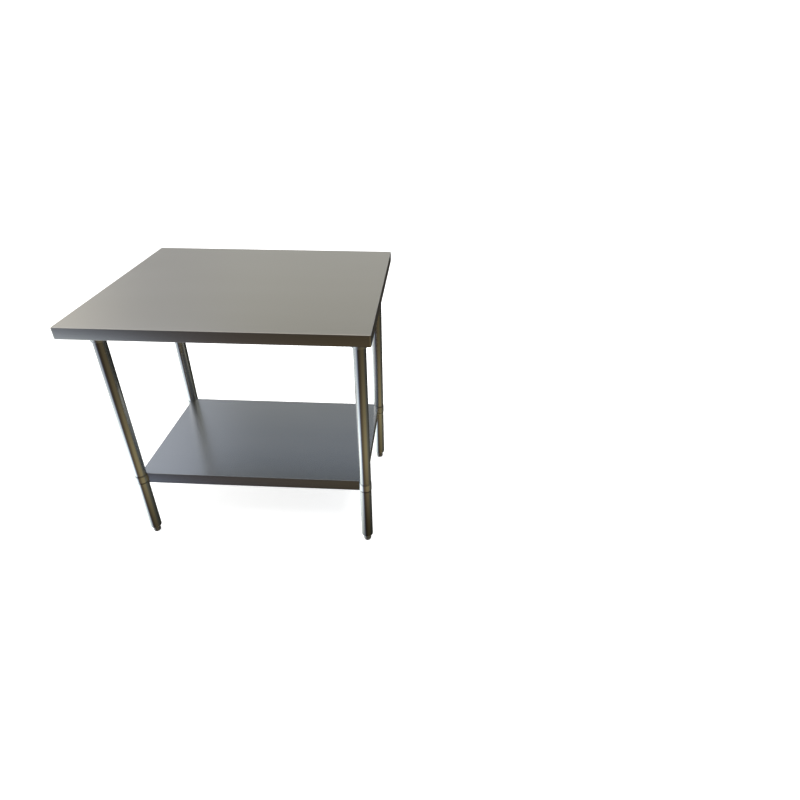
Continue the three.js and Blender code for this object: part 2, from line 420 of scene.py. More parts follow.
def weld_metal():
    material, tree, shader = new_material("heat stained weld")
    coordinates = add_node(tree, "ShaderNodeTexCoord").outputs["Object"]
    stain = stretched_noise(tree, coordinates, (90, 90, 90), detail=2.0)
    colour = tinted(tree, remapped(tree, stain, 0, 1), (0.30, 0.27, 0.26), (0.46, 0.42, 0.36))
    tree.links.new(colour, shader.inputs["Base Color"])
    tree.links.new(remapped(tree, stain, 0.3, 0.5), shader.inputs["Roughness"])
    shader.inputs["Metallic"].default_value = 1.0
    return material


zinc_sheet = galvanised_steel()
zinc_plate = plated_steel()
weld_steel = weld_metal()
print("materials:", len(bpy.data.materials))


# %% [markdown]
# ## Folded sheet: the worktop
# The top is one sheet. Its four edges are bent down into a skirt and bent in again at the bottom, so no
# raw edge shows, and the corners are welded and ground. The shape is one folded section carried round a
# rounded rectangle. Each section point moves the rectangle in by its inset, so the outline needs only the
# corner arcs. A thin ring of flat face beside each bend keeps the shading of the big flats true.

# %% A folded pan
EASE = 0.8 * MM
BEND_STEPS = 6
CORNER_STEPS = 10


def folded_section(skirt, sheet, hem, bend):
    """(inset from the outer face, depth below the top face) down the outside and back up the inside."""
    inner = bend - sheet
    flat_from = bend + EASE
    outside = [(flat_from, 0), (0, 0, bend), (0, -skirt, bend), (hem, -skirt)]
    inside = [(hem, sheet - skirt), (sheet, sheet - skirt, inner)]
    inside += [(sheet, -sheet, inner), (flat_from, -sheet)]
    return rounded(outside + inside, BEND_STEPS, closed=False)


def ring_of(half_length, half_depth, corner, inset):
    """The rounded rectangle moved in by an inset. Past the corner's radius, the corner is a plain mitre."""
    radius = max(corner - inset, 0)
    reach_x = half_length - max(corner, inset)
    reach_y = half_depth - max(corner, inset)
    points = []
    for quarter, (sx, sy) in enumerate(((1, 1), (-1, 1), (-1, -1), (1, -1))):
        for step in range(CORNER_STEPS + 1):
            a = math.pi / 2 * (quarter + step / CORNER_STEPS)
            points.append((sx * reach_x + radius * math.cos(a), sy * reach_y + radius * math.sin(a)))
    return points


def folded_pan(node, sheet, hem, bend, corner):
    """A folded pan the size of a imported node, with its unfolded flat pattern as a UV map in metres."""
    low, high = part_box(node)
    half_length, half_depth = (high.x - low.x) / 2, (high.y - low.y) / 2
    section = folded_section(high.z - low.z, sheet, hem, bend)
    run = [-(bend + EASE)]
    for a, b in zip(section, section[1:]):
        run.append(run[-1] + (b - a).length)
    bm = bmesh.new()
    along = bm.verts.layers.float.new("along_sheet")
    rings = []
    for point, distance in zip(section, run):
        ring = []
        for x, y in ring_of(half_length, half_depth, corner, point.x):
            vertex = bm.verts.new((x, y, high.z + point.y))
            vertex[along] = distance
            ring.append(vertex)
        rings.append(ring)
    count = len(rings[0])
    for upper, lower in zip(rings, rings[1:]):
        for k in range(count):
            n = (k + 1) % count
            bm.faces.new((upper[k], lower[k], lower[n], upper[n]))
    bm.faces.new(rings[0])
    bm.faces.new(reversed(rings[-1]))
    bmesh.ops.remove_doubles(bm, verts=bm.verts, dist=1e-7)
    bmesh.ops.recalc_face_normals(bm, faces=bm.faces)
    unfold(bm, along, half_length, half_depth, bend)
    return mesh_from(bm)


def unfold(bm, along, half_length, half_depth, bend):
    """Lays every face out flat: the skirts carry on from the edge that they are bent from."""
    uv = bm.loops.layers.uv.new("flat_pattern")
    for face in bm.faces:
        middle = face.calc_center_median()
        past_end = abs(middle.x) - half_length
        past_side = abs(middle.y) - half_depth
        flat = max(past_end, past_side) < -(bend + EASE)
        for loop in face.loops:
            co, distance = loop.vert.co, loop.vert[along]
            u, v = co.x, co.y
            if not flat and past_end > past_side:
                u = math.copysign(half_length + distance, middle.x)
            elif not flat:
                v = math.copysign(half_depth + distance, middle.y)
            loop[uv].uv = (u, v)


WORKTOP = dict(sheet=1.5 * MM, hem=12.7 * MM, bend=3 * MM, corner=5 * MM)
worktop_mesh = folded_pan("top_panel", **WORKTOP)
hand_over("worktop", worktop_mesh, worktop_steel, "table", ["top_panel"])
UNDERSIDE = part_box("top_panel")[1].z - WORKTOP["sheet"]
print("worktop:", len(worktop_mesh.polygons), "faces")

# %% [markdown]
# ## Channels under the sheet
# Thin sheet drums when it is hit, so hat-shaped channels stiffen it. A channel is one section carried
# along a straight line, which Curve to Mesh does well: the scratch object holds only the section's
# outline, and the node tree turns it into a curve, sweeps it along a line of the channel's length and
# gives it its material.

# %% A node tree for pressed channels
def new_tree(name, inputs):
    """A Geometry Nodes tree with a geometry input, the named inputs and one geometry output."""
    tree = bpy.data.node_groups.new(name, "GeometryNodeTree")
    tree.interface.new_socket("Geometry", in_out="INPUT", socket_type="NodeSocketGeometry")
    for label, (kind, default) in inputs.items():
        socket = tree.interface.new_socket(label, in_out="INPUT", socket_type=kind)
        if default is not None:
            socket.default_value = default
    tree.interface.new_socket("Geometry", in_out="OUTPUT", socket_type="NodeSocketGeometry")
    return tree, tree.nodes.new("NodeGroupInput"), tree.nodes.new("NodeGroupOutput")


def end_tree(tree, geometry, material_socket, output):
    """Every tree ends in plain geometry with its material set."""
    realize = tree.nodes.new("GeometryNodeRealizeInstances")
    finish = tree.nodes.new("GeometryNodeSetMaterial")
    tree.links.new(geometry, realize.inputs["Geometry"])
    tree.links.new(realize.outputs["Geometry"], finish.inputs["Geometry"])
    tree.links.new(material_socket, finish.inputs["Material"])
    tree.links.new(finish.outputs["Geometry"], output.inputs["Geometry"])


def grown(mesh, tree, values):
    """Runs a tree on a scratch object that holds a mesh, and gives the plain result."""
    scratch = bpy.data.objects.new("scratch", mesh)
    bpy.context.scene.collection.objects.link(scratch)
    modifier = scratch.modifiers.new("grow", "NODES")
    modifier.node_group = tree
    for item in tree.interface.items_tree:
        if item.in_out == "INPUT" and item.name in values:
            modifier[item.identifier] = values[item.name]
    return evaluated_mesh(scratch)


def channel_tree():
    tree, given, output = new_tree(
        "pressed_channel", {"Length": ("NodeSocketFloat", 0.5), "Material": ("NodeSocketMaterial", None)}
    )
    section = tree.nodes.new("GeometryNodeMeshToCurve")
    line = tree.nodes.new("GeometryNodeCurvePrimitiveLine")
    for label, factor in (("Start", -0.5), ("End", 0.5)):
        end = tree.nodes.new("ShaderNodeCombineXYZ")
        tree.links.new(maths(tree, "MULTIPLY", given.outputs["Length"], factor), end.inputs["X"])
        tree.links.new(end.outputs[0], line.inputs[label])
    sweep = add_node(tree, "GeometryNodeCurveToMesh", fill_caps=True)
    tree.links.new(given.outputs["Geometry"], section.inputs["Mesh"])
    tree.links.new(line.outputs["Curve"], sweep.inputs["Curve"])
    tree.links.new(section.outputs["Curve"], sweep.inputs["Profile Curve"])
    end_tree(tree, sweep.outputs["Mesh"], given.outputs["Material"], output)
    return tree


pressed_channel = channel_tree()


# %% The channel's bent section
def hat_section(crown, height, flange, sheet, bend):
    """A hat with its flanges at height 0, as an outline with every bend rounded inside and out."""
    half, edge, inner = crown / 2, crown / 2 + sheet + flange, bend - sheet
    top = [(half, 0, bend), (edge, 0), (edge, -sheet), (half + sheet, -sheet, inner)]
    side = [(half + sheet, -height, bend), (-half - sheet, -height, bend)]
    other = [(-half - sheet, -sheet, inner), (-edge, -sheet), (-edge, 0), (-half, 0, bend)]
    inside = [(-half, sheet - height, inner), (half, sheet - height, inner)]
    return rounded(top + side + other + inside, 4)


def outline_mesh(points):
    """A closed ring of edges across the z axis, which Curve to Mesh carries along a line."""
    mesh = bpy.data.meshes.new("outline")
    count = len(points)
    mesh.from_pydata([(p.x, p.y, 0) for p in points], [(i, (i + 1) % count) for i in range(count)], [])
    return mesh


def closed(mesh):
    """Merges doubled points and turns every face outward."""
    bm = bmesh.new()
    bm.from_mesh(mesh)
    bmesh.ops.remove_doubles(bm, verts=bm.verts, dist=1e-6)
    return mesh_from(bm)


def channel_mesh(node, crown, height, flange, sheet):
    low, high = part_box(node)
    section = outline_mesh(hat_section(crown, height, flange, sheet, 2 * sheet))
    made = closed(grown(section, pressed_channel, {"Length": high.x - low.x, "Material": zinc_sheet}))
    return placed(made, (0, (low.y + high.y) / 2, high.z), Matrix.Rotation(math.pi, 4, "X"))


TOP_CHANNEL = dict(crown=76 * MM, height=25.4 * MM, flange=19 * MM, sheet=1.2 * MM)
SHELF_CHANNEL = dict(crown=50 * MM, height=19 * MM, flange=16 * MM, sheet=1.2 * MM)
CHANNEL_PLACES = ("front", "centre", "rear")
for place in CHANNEL_PLACES:
    node = f"top_channel_{place}"
    mesh = channel_mesh(node, **TOP_CHANNEL)
    hand_over(f"worktop_channel_{place}", mesh, zinc_sheet, "table", [node])
mesh = channel_mesh("shelf_channel", **SHELF_CHANNEL)
hand_over("undershelf_channel", mesh, zinc_sheet, "shelf", ["shelf_channel"])

# %% [markdown]
# ## Threads, hexagons and bores
# A thread is a ridge that climbs as it turns. Here the rod is made of rings, and each point's radius
# depends on its height plus its angle, which gives one true helix with no separate ridge to join. A
# hexagon head is a prism cut by a barrel, which leaves the curved chamfers that a turned bar gets.


# %% Screws and nuts
def rod(radius, from_z, to_z, sides=48, ease=0.0):
    return turned([(0, from_z), (radius, from_z, ease), (radius, to_z, ease), (0, to_z)], sides)


def threaded_rod(radius, pitch, from_z, to_z, sides=24, chamfer=0.8 * MM):
    """A rod with one helical ridge and chamfered, closed ends."""
    steps_a_turn = 8
    count = round((to_z - from_z) / pitch * steps_a_turn)
    bm = bmesh.new()
    rings = []
    for j in range(count + 1):
        z = from_z + (to_z - from_z) * j / count
        end_limit = radius - chamfer + min(z - from_z, to_z - z)
        ring = []
        for k in range(sides):
            phase = (z / pitch - k / sides) % 1
            ridge = radius - 0.6 * pitch * (1 - abs(2 * phase - 1))
            r, a = min(ridge, end_limit), 2 * math.pi * k / sides
            ring.append(bm.verts.new((r * math.cos(a), r * math.sin(a), z)))
        rings.append(ring)
    for lower, upper in zip(rings, rings[1:]):
        for k in range(sides):
            n = (k + 1) % sides
            bm.faces.new((lower[k], lower[n], upper[n], upper[k]))
    bm.faces.new(reversed(rings[0]))
    bm.faces.new(rings[-1])
    return mesh_from(bm)


def hexagon(across_flats, from_z, to_z):
    corners = across_flats / math.sqrt(3)
    outline = [(corners * math.cos(i * math.pi / 3), corners * math.sin(i * math.pi / 3)) for i in range(6)]
    return extruded(outline, from_z, to_z)


def hex_head(across_flats, from_z, to_z):
    rim, corners = 0.48 * across_flats, 0.6 * across_flats
    slope = (corners - rim) * math.tan(math.radians(30))
    lower = [(0, from_z), (rim, from_z), (corners, from_z + slope)]
    barrel = lower + [(corners, to_z - slope), (rim, to_z), (0, to_z)]
    return combine(hexagon(across_flats, from_z, to_z), turned(barrel, 48), "INTERSECT")


def laid(mesh, angle, height, centre=(0, 0, 0)):
    """Lays a piece made along z down along the direction of an angle, at a height."""
    turn = Matrix.Rotation(angle, 4, "Z") @ Matrix.Rotation(math.pi / 2, 4, "Y")
    return placed(mesh, Vector(centre) + Vector((0, 0, height)), turn)


# %% [markdown]
# Twelve studs are welded under the sheet, and a nut on each one pulls a channel up against it. One nut is
# made once and set out by Geometry Nodes, each turned by its own random angle, because no two nuts stop
# at the same place.


# %% A node tree that sets one fastener out on points
def setting_out_tree():
    inputs = {
        "Fastener": ("NodeSocketObject", None),
        "Largest Turn": ("NodeSocketFloat", 1.0),
        "Seed": ("NodeSocketInt", 1),
        "Material": ("NodeSocketMaterial", None),
    }
    tree, given, output = new_tree("fasteners_set_out", inputs)
    fastener = tree.nodes.new("GeometryNodeObjectInfo")
    turn = tree.nodes.new("FunctionNodeRandomValue")
    about_z = tree.nodes.new("ShaderNodeCombineXYZ")
    copies = tree.nodes.new("GeometryNodeInstanceOnPoints")
    tree.links.new(given.outputs["Fastener"], fastener.inputs["Object"])
    tree.links.new(given.outputs["Largest Turn"], turn.inputs[3])
    tree.links.new(given.outputs["Seed"], turn.inputs["Seed"])
    tree.links.new(turn.outputs[1], about_z.inputs["Z"])
    tree.links.new(given.outputs["Geometry"], copies.inputs["Points"])
    tree.links.new(fastener.outputs["Geometry"], copies.inputs["Instance"])
    tree.links.new(about_z.outputs[0], copies.inputs["Rotation"])
    end_tree(tree, copies.outputs["Instances"], given.outputs["Material"], output)
    return tree


fasteners_set_out = setting_out_tree()


def set_out(points, fastener_mesh, material, largest_turn=0.0, seed=1):
    mesh = bpy.data.meshes.new("points")
    mesh.from_pydata(points, [], [])
    pattern = bpy.data.objects.new("pattern", fastener_mesh)
    bpy.context.scene.collection.objects.link(pattern)
    values = {"Fastener": pattern, "Largest Turn": largest_turn, "Seed": seed, "Material": material}
    made = grown(mesh, fasteners_set_out, values)
    bpy.data.objects.remove(pattern)
    return made


nut_nodes = [f"channel_nut_{place}_{i}" for place in CHANNEL_PLACES for i in range(1, 5)]
nut_boxes = [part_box(node) for node in nut_nodes]
nut_points = [((low.x + high.x) / 2, (low.y + high.y) / 2, high.z) for low, high in nut_boxes]
NUT_HEIGHT = nut_boxes[0][1].z - nut_boxes[0][0].z
NUT_ACROSS_FLATS = 11 * MM
STUD_RADIUS = 3.2 * MM
STUD_PITCH = 1.27 * MM
STUD_LENGTH = 12 * MM
NUT_SEED = 4
nut = hex_head(NUT_ACROSS_FLATS, -NUT_HEIGHT, 0)
nut = combine(nut, rod(STUD_RADIUS + GAP, -NUT_HEIGHT - MM, MM), "DIFFERENCE")
nuts = set_out(nut_points, nut, zinc_plate, math.pi / 3, NUT_SEED)
hand_over("channel_nuts", nuts, zinc_plate, "table", nut_nodes)
stud = threaded_rod(STUD_RADIUS, STUD_PITCH, -STUD_LENGTH, 0.5 * MM)
studs = set_out([(x, y, UNDERSIDE) for x, y, z in nut_points], stud, zinc_plate)
hand_over("worktop_studs", studs, zinc_plate, "table")
print("nuts:", len(nut_points), "studs:", len(studs.polygons), "faces")

# %% [markdown]
# ## Weld beads
# A hand-laid bead is a row of overlapping ripples. A node tree sweeps a round section along a path and
# swells it again and again as it goes: the swelling is a sine of the length along the path, so the
# ripples keep one pitch on straight runs and round corners alike.


# %% A node tree for weld beads
RIPPLE_PITCH = 2 * MM
STEP_OF_A_RIPPLE = 0.2


def weld_tree():
    inputs = {
        "Bead Radius": ("NodeSocketFloat", 1.2 * MM),
        "Ripple Pitch": ("NodeSocketFloat", RIPPLE_PITCH),
        "Ripple Depth": ("NodeSocketFloat", 0.14),
        "Material": ("NodeSocketMaterial", None),
    }
    tree, given, output = new_tree("weld_bead", inputs)
    path = tree.nodes.new("GeometryNodeMeshToCurve")
    fine = add_node(tree, "GeometryNodeResampleCurve", mode="LENGTH")
    along = tree.nodes.new("GeometryNodeSplineParameter").outputs["Length"]
    pitch, depth = given.outputs["Ripple Pitch"], given.outputs["Ripple Depth"]
    angle = maths(tree, "MULTIPLY", maths(tree, "DIVIDE", along, pitch), 2 * math.pi)
    wave = maths(tree, "SINE", angle, 0)
    swell = maths(tree, "ADD", maths(tree, "MULTIPLY", wave, depth), 1)
    circle = add_node(tree, "GeometryNodeCurvePrimitiveCircle", resolution=10)
    sweep = add_node(tree, "GeometryNodeCurveToMesh", fill_caps=True)
    tree.links.new(given.outputs["Geometry"], path.inputs["Mesh"])
    tree.links.new(path.outputs["Curve"], fine.inputs["Curve"])
    tree.links.new(maths(tree, "MULTIPLY", pitch, STEP_OF_A_RIPPLE), fine.inputs["Length"])
    tree.links.new(given.outputs["Bead Radius"], circle.inputs["Radius"])
    tree.links.new(fine.outputs["Curve"], sweep.inputs["Curve"])
    tree.links.new(circle.outputs["Curve"], sweep.inputs["Profile Curve"])
    tree.links.new(swell, sweep.inputs["Scale"])
    end_tree(tree, sweep.outputs["Mesh"], given.outputs["Material"], output)
    return tree


weld_bead = weld_tree()


def welds(paths, bead_radius=1.1 * MM):
    """One mesh of beads, one along each path of points."""
    mesh = bpy.data.meshes.new("paths")
    points, edges = [], []
    for path in paths:
        start = len(points)
        points += [tuple(p) for p in path]
        edges += [(start + i, start + i + 1) for i in range(len(path) - 1)]
    mesh.from_pydata(points, edges, [])
    values = {"Bead Radius": bead_radius, "Ripple Pitch": RIPPLE_PITCH, "Material": weld_steel}
    return closed(grown(mesh, weld_bead, values))


def arc(centre, radius, from_angle, to_angle, height, steps=24):
    angles = [from_angle + (to_angle - from_angle) * i / steps for i in range(steps + 1)]
    return [(centre.x + radius * math.cos(a), centre.y + radius * math.sin(a), height) for a in angles]


# %% [markdown]
# ## Leg sockets
# Each leg pushes up into a gusset: a square plate welded across the channel, with a tapered socket
# hanging from it. A set screw in the socket's side bites on the tube. The socket is a turned outline, so
# its soft flare is two eased corners. The plate is extruded, and the two are joined and then bored.

# %% Gussets, their set screws and their welds
SOCKET_RADIUS = LEG_RADIUS + GAP
SOCKET_FOOT_RADIUS = 24.5 * MM
SOCKET_HEAD_RADIUS = 33 * MM
SOCKET_EASE = 12 * MM
PLATE_THICK = 3 * MM
PLATE_CORNER = 8 * MM
SCREW_RADIUS = 4 * MM
SCREW_PITCH = 1.25 * MM
SCREW_LENGTH = 8.5 * MM
SCREW_KEY = 4 * MM
gusset_low, gusset_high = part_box("leg_gusset_front_right")
PLATE_HALF = (gusset_high.x - gusset_low.x) / 2
PLATE_UNDER = gusset_high.z - PLATE_THICK
screw_low, screw_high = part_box("gusset_screw_front_right")
SCREW_HEIGHT = (screw_low.z + screw_high.z) / 2


def eased_plate(outline, from_z, to_z, ease=0.5 * MM):
    """A flat plate with its upper and lower rims rounded over."""
    bm = bmesh.new()
    bm.from_mesh(extruded(outline, from_z, to_z))
    rims = [e for e in bm.edges if abs(e.verts[0].co.z - e.verts[1].co.z) < 1e-7]
    bmesh.ops.bevel(bm, geom=rims, offset=ease, segments=2, affect="EDGES", profile=0.5)
    return mesh_from(bm)


def gusset_mesh():
    bottom, inner = gusset_low.z, SOCKET_RADIUS - 2 * MM
    foot = [(inner, bottom), (SOCKET_FOOT_RADIUS, bottom, 1.2 * MM)]
    flare = [(SOCKET_FOOT_RADIUS, bottom + 6 * MM, SOCKET_EASE)]
    flare += [(SOCKET_HEAD_RADIUS, PLATE_UNDER - 8 * MM, SOCKET_EASE)]
    top = PLATE_UNDER + 0.5 * MM
    head = [(SOCKET_HEAD_RADIUS + PLATE_THICK, top), (inner, top)]
    signs = ((1, 1), (-1, 1), (-1, -1), (1, -1))
    square = [(x * PLATE_HALF, y * PLATE_HALF, PLATE_CORNER) for x, y in signs]
    plate = eased_plate(square, PLATE_UNDER, gusset_high.z)
    joined = combine(turned(foot + flare + head), plate, "UNION")
    bore = turned(
        [(0, bottom - MM), (SOCKET_RADIUS + MM, bottom - MM), (SOCKET_RADIUS, bottom + 0.8 * MM)]
        + [(SOCKET_RADIUS, gusset_high.z + MM), (0, gusset_high.z + MM)]
    )
    well_inside, well_outside = 10 * MM, 43 * MM
    tapping = laid(rod(SCREW_RADIUS + GAP, well_inside, well_outside, 32), 0, SCREW_HEIGHT)
    return combine(combine(joined, bore, "DIFFERENCE"), tapping, "DIFFERENCE")


def set_screw():
    """A threaded screw with a hexagon socket sunk in its outer end."""
    tip, end = SOCKET_RADIUS, SOCKET_RADIUS + SCREW_LENGTH
    key = hexagon(SCREW_KEY, end - SCREW_KEY, end + MM)
    return combine(threaded_rod(SCREW_RADIUS, SCREW_PITCH, tip, end), key, "DIFFERENCE")


BEAD_REACH = 24 * MM
NEARLY_ROUND = 1.96 * math.pi
gusset = gusset_mesh()
screw = set_screw()
bead_paths = []
for corner, place in leg_places.items():
    inward = 0.0 if place.x < 0 else math.pi
    turn = Matrix.Rotation(inward, 4, "Z")
    mesh, node = placed(gusset, place, turn), f"leg_gusset_{corner}"
    hand_over(f"gusset_{corner}", mesh, pressed_steel, "table", [node])
    mesh, node = laid(screw, inward, SCREW_HEIGHT, place), f"gusset_screw_{corner}"
    hand_over(f"set_screw_{corner}", mesh, zinc_plate, "table", [node])
    for side in (-1, 1):
        x = place.x + side * (PLATE_HALF + 0.4 * MM)
        z = gusset_high.z - 0.4 * MM
        bead_paths.append([(x, place.y - BEAD_REACH, z), (x, place.y + BEAD_REACH, z)])
    around_socket = SOCKET_HEAD_RADIUS + PLATE_THICK + 0.2 * MM
    bead_paths.append(arc(place, around_socket, 0, NEARLY_ROUND, PLATE_UNDER - 0.1 * MM, 60))
hand_over("gusset_welds", welds(bead_paths), weld_steel, "table")
print("gusset:", len(gusset.polygons), "faces, screws at", round(SCREW_HEIGHT * 1000, 1), "mm")

# %% [markdown]
# ## Legs and feet
# The legs are polished tube, so their outline against the light must be truly round: 128 sides keep the
# highlight straight. A plug pressed in the lower end takes the foot's stud, and the foot has two flats
# for a spanner.

# %% Tubes and plugs
TUBE_WALL = 1.5 * MM
STUD_BORE = 6.65 * MM
FOOT_STUD_RADIUS = 6.35 * MM
tube_inner = LEG_RADIUS - TUBE_WALL
tube = turned(
    [(tube_inner, LEG_BOTTOM, 0.3 * MM), (LEG_RADIUS, LEG_BOTTOM, 0.5 * MM)]
    + [(LEG_RADIUS, LEG_TOP, 0.5 * MM), (tube_inner, LEG_TOP, 0.3 * MM)],
    128,
)


def plug_mesh():
    """A rim that covers the tube's cut end, and a ribbed body that grips the inside of the tube."""
    low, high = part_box("leg_plug_front_left")
    rim_top, rim, body = LEG_BOTTOM - GAP, LEG_RADIUS - 0.4 * MM, tube_inner - GAP
    outline = [(STUD_BORE, low.z, 0.4 * MM), (rim, low.z, 0.8 * MM)]
    outline += [(rim, rim_top, 0.2 * MM), (body, rim_top)]
    ribs = 5
    for i in range(ribs):
        z = rim_top + (high.z - rim_top) * (i + 0.6) / (ribs + 0.4)
        outline += [(body, z), (body - 0.7 * MM, z + 1.2 * MM), (body, z + 2.8 * MM)]
    return turned(outline + [(body - 0.8 * MM, high.z), (STUD_BORE, high.z)])


plug = plug_mesh()
for corner, place in leg_places.items():
    node = f"leg_{corner}"
    hand_over(f"leg_tube_{corner}", placed(tube, place), tube_steel, "table", [node])
    node = f"leg_plug_{corner}"
    hand_over(f"tube_plug_{corner}", placed(plug, place), zinc_plate, "table", [node])
print("leg tube:", len(tube.polygons), "faces")

# %% Feet
foot_low, foot_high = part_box("foot_front_left")
FOOT_RADIUS = (foot_high.x - foot_low.x) / 2
FOOT_BASE_RADIUS = 11.5 * MM
FOOT_FLAT, FOOT_FLAT_HEIGHT = 12 * MM, 9 * MM
FOOT_BORE_DEPTH = 15 * MM
FOOT_GROOVES = (8 * MM, 12 * MM)
FOOT_STUD_PITCH = 1.954 * MM


def foot_mesh():
    """A bullet foot: a rounded nose, two grooves, a collar with spanner flats and a bore for the stud."""
    r, top = FOOT_RADIUS, foot_high.z
    outline = [(0, 0), (FOOT_BASE_RADIUS, 0, MM), (r - 0.6 * MM, 1.7 * MM, MM), (r, 5 * MM, 2 * MM)]
    for z in FOOT_GROOVES:
        outline += [(r, z, 0.2 * MM), (r - 0.9 * MM, z + 0.6 * MM, 0.3 * MM), (r, z + 1.2 * MM, 0.2 * MM)]
    bore_end = top - FOOT_BORE_DEPTH
    outline += [(r, top, MM), (STUD_BORE, top, 0.4 * MM), (STUD_BORE, bore_end), (0, bore_end)]
    made = turned(outline)
    for side in (-1, 1):
        y = sorted((side * FOOT_FLAT, side * 2 * FOOT_FLAT))
        block = [(2 * r, y[0]), (2 * r, y[1]), (-2 * r, y[1]), (-2 * r, y[0])]
        made = combine(made, extruded(block, top - FOOT_FLAT_HEIGHT, top + MM), "DIFFERENCE")
    return made


foot = foot_mesh()
stud_low, stud_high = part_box("foot_stud_front_left")
foot_stud = threaded_rod(FOOT_STUD_RADIUS, FOOT_STUD_PITCH, stud_low.z, stud_high.z, 32)
for corner, place in leg_places.items():
    body = f"foot_{corner}"
    hand_over(f"bullet_foot_{corner}", placed(foot, place), shaded_foot_steel, body, [body])
    node = f"foot_stud_{corner}"
    hand_over(f"foot_thread_{corner}", placed(foot_stud, place), zinc_plate, body, [node])
print("foot:", len(foot.polygons), "faces, stud:", len(foot_stud.polygons), "faces")

# %% [markdown]
# ## The undershelf
# It is folded like the worktop, but each corner is cut round for a leg, so the same pan is made and four
# cylinders are taken out of it. A band round each leg carries the shelf on an ear, and one bolt in the
# band's boss locks it.

# %% Undershelf
SHELF = dict(sheet=1.2 * MM, hem=11 * MM, bend=2.4 * MM, corner=4 * MM)
BAND_RADIUS = 22 * MM
shelf_low, shelf_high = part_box("undershelf")
shelf_mesh = folded_pan("undershelf", **SHELF)
for place in leg_places.values():
    notch = placed(rod(BAND_RADIUS + GAP, shelf_low.z - MM, shelf_high.z + MM, 96), place)
    shelf_mesh = combine(shelf_mesh, notch, "DIFFERENCE")
hand_over("undershelf_pan", shelf_mesh, shaded_shelf_steel, "shelf", ["undershelf"])
print("undershelf:", len(shelf_mesh.polygons), "faces, UV maps:", list(shelf_mesh.uv_layers.keys()))

# %% Collars and bolts
BAND_INNER = 21 * MM
BAND_LIP = 6 * MM
BAND_EASE = 20 * MM
EAR_THICK = 2.5 * MM
BOSS_RADIUS = 8 * MM
BOSS_END = 32 * MM
BOLT_ACROSS_FLATS = 13 * MM
BOLT_HEAD = 5.5 * MM
BOLT_SHANK_END = 35 * MM
collar_low, collar_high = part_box("shelf_collar_front_left")
bolt_low, bolt_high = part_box("shelf_bolt_front_left")
BOLT_HEIGHT = (bolt_low.z + bolt_high.z) / 2


def collar_mesh():
    """A band with an ear and a boss that point along +X and +Y, between the two."""
    bottom, top, inner = collar_low.z, collar_high.z, BAND_INNER - 2 * MM
    edge = BAND_INNER + GAP / 2
    band = turned(
        [(inner, bottom), (edge, bottom), (BAND_RADIUS, bottom + BAND_LIP, BAND_EASE)]
        + [(BAND_RADIUS, top - BAND_LIP, BAND_EASE), (edge, top), (inner, top)]
    )
    near, far, cut = 2.7 * MM, 68 * MM, 12 * MM
    outline = [(near, near), (far, near, 6 * MM), (far, cut, 3 * MM)]
    outline += [(cut, far, 3 * MM), (near, far, 6 * MM)]
    made = combine(band, eased_plate(outline, top - EAR_THICK, top, 0.4 * MM), "UNION")
    boss = [(0, BAND_INNER), (BOSS_RADIUS + MM, BAND_INNER)]
    boss += [(BOSS_RADIUS, BAND_INNER + 3 * MM, 2 * MM)]
    boss += [(BOSS_RADIUS, BOSS_END, 0.8 * MM), (0, BOSS_END)]
    made = combine(made, laid(turned(boss, 64), math.pi / 4, BOLT_HEIGHT), "UNION")
    made = combine(made, rod(BAND_INNER, bottom - MM, top + MM, 96), "DIFFERENCE")
    tapping = rod(SCREW_RADIUS + GAP, BAND_INNER - 5 * MM, BOSS_END + MM, 32)
    return combine(made, laid(tapping, math.pi / 4, BOLT_HEIGHT), "DIFFERENCE")


def shelf_bolt():
    """A hexagon-headed bolt whose tip stops at the tube."""
    head = hex_head(BOLT_ACROSS_FLATS, BOLT_SHANK_END, BOLT_SHANK_END + BOLT_HEAD)
    shank = threaded_rod(SCREW_RADIUS, SCREW_PITCH, BAND_INNER, BOLT_SHANK_END + MM)
    return combine(head, shank, "UNION")


BEAD_HALF_SWEEP = 0.6
collar = collar_mesh()
bolt = shelf_bolt()
bead_paths = []
for corner, place in leg_places.items():
    diagonal = math.copysign(math.pi / 4 if place.x < 0 else 3 * math.pi / 4, -place.y)
    turn = Matrix.Rotation(diagonal - math.pi / 4, 4, "Z")
    mesh, node = placed(collar, place, turn), f"shelf_collar_{corner}"
    hand_over(f"collar_{corner}", mesh, tube_steel, "shelf", [node])
    mesh, node = laid(bolt, diagonal, BOLT_HEIGHT, place), f"shelf_bolt_{corner}"
    hand_over(f"collar_bolt_{corner}", mesh, zinc_plate, node, [node])
    ends = diagonal - BEAD_HALF_SWEEP, diagonal + BEAD_HALF_SWEEP
    bead_paths.append(arc(place, BAND_RADIUS + 0.5 * MM, *ends, collar_high.z - 3 * MM))
hand_over("collar_welds", welds(bead_paths, 0.9 * MM), weld_steel, "shelf")
print("collar:", len(collar.polygons), "faces, bolts at", round(BOLT_HEIGHT * 1000, 1), "mm")

# %% [markdown]
# ## The stage, the light and the camera
# The floor and the backdrop are plain and pale. The steel takes nearly all its colour from what it
# reflects, so the surroundings matter more than the lamp: the walls behind the table are a warm grey, the
# low part of the room in front is dark and brown, and a cool, bright window side lies to the left. The
# colour depends only on the direction.

# %% Floor and backdrop
FLOOR_RADIUS = 14.0


def stage_material(name, colour, glow):
    material, tree, shader = new_material(name)
    shader.inputs["Base Color"].default_value = (*colour, 1)
    shader.inputs["Roughness"].default_value = 0.9
    shader.inputs["Emission Color"].default_value = (*colour, 1)
    shader.inputs["Emission Strength"].default_value = glow
    return material


